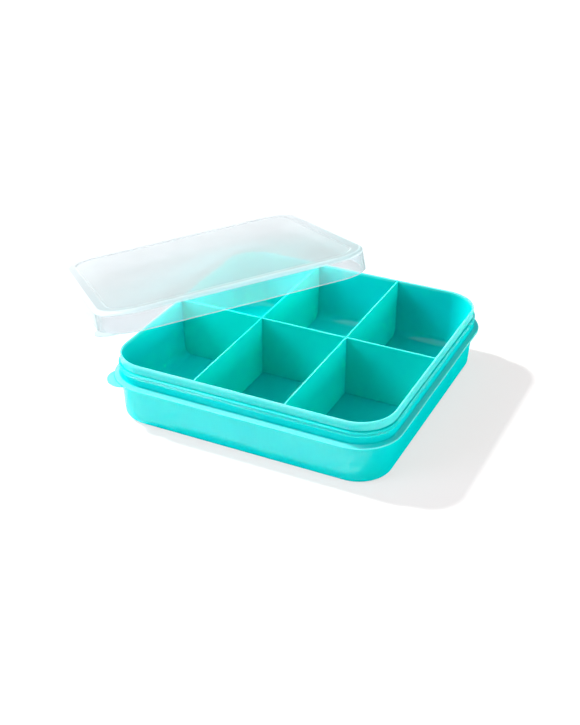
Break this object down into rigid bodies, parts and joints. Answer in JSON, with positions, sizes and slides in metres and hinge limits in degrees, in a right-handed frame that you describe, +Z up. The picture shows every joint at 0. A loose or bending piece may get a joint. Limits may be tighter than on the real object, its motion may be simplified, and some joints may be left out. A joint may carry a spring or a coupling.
{
  "type": "bento lunch box",
  "caption": "Square shallow lunch box with rounded corners, a beaded neck and flange, pressed-in dividers forming equal compartments, and a translucent snap-fit cap lid propped open on it.",
  "frame": {"origin": "centre of the tub's flat underside", "axes": "+Z up; +X to the right along the long divider, with the lift tab at the near left corner; +Y to the back"},
  "size_m": [0.3734, 0.3244, 0.0859],
  "materials": {
    "tub_plastic": "glossy injection-moulded polypropylene, turquoise",
    "divider_plastic": "glossy injection-moulded polypropylene, turquoise",
    "lid_plastic": "translucent frosted polypropylene, satin"
  },
  "bodies": {
    "base": {"tub": "tub_plastic", "long_divider": "divider_plastic", "left_cross_divider": "divider_plastic", "right_cross_divider": "divider_plastic"},
    "cap": {"lid": "lid_plastic"}
  },
  "joints": [
    {"name": "lid_lift", "type": "slide", "parent": "base", "child": "cap", "axis": [0, 0, 1], "range_m": [0, 0.15]}
  ]
}
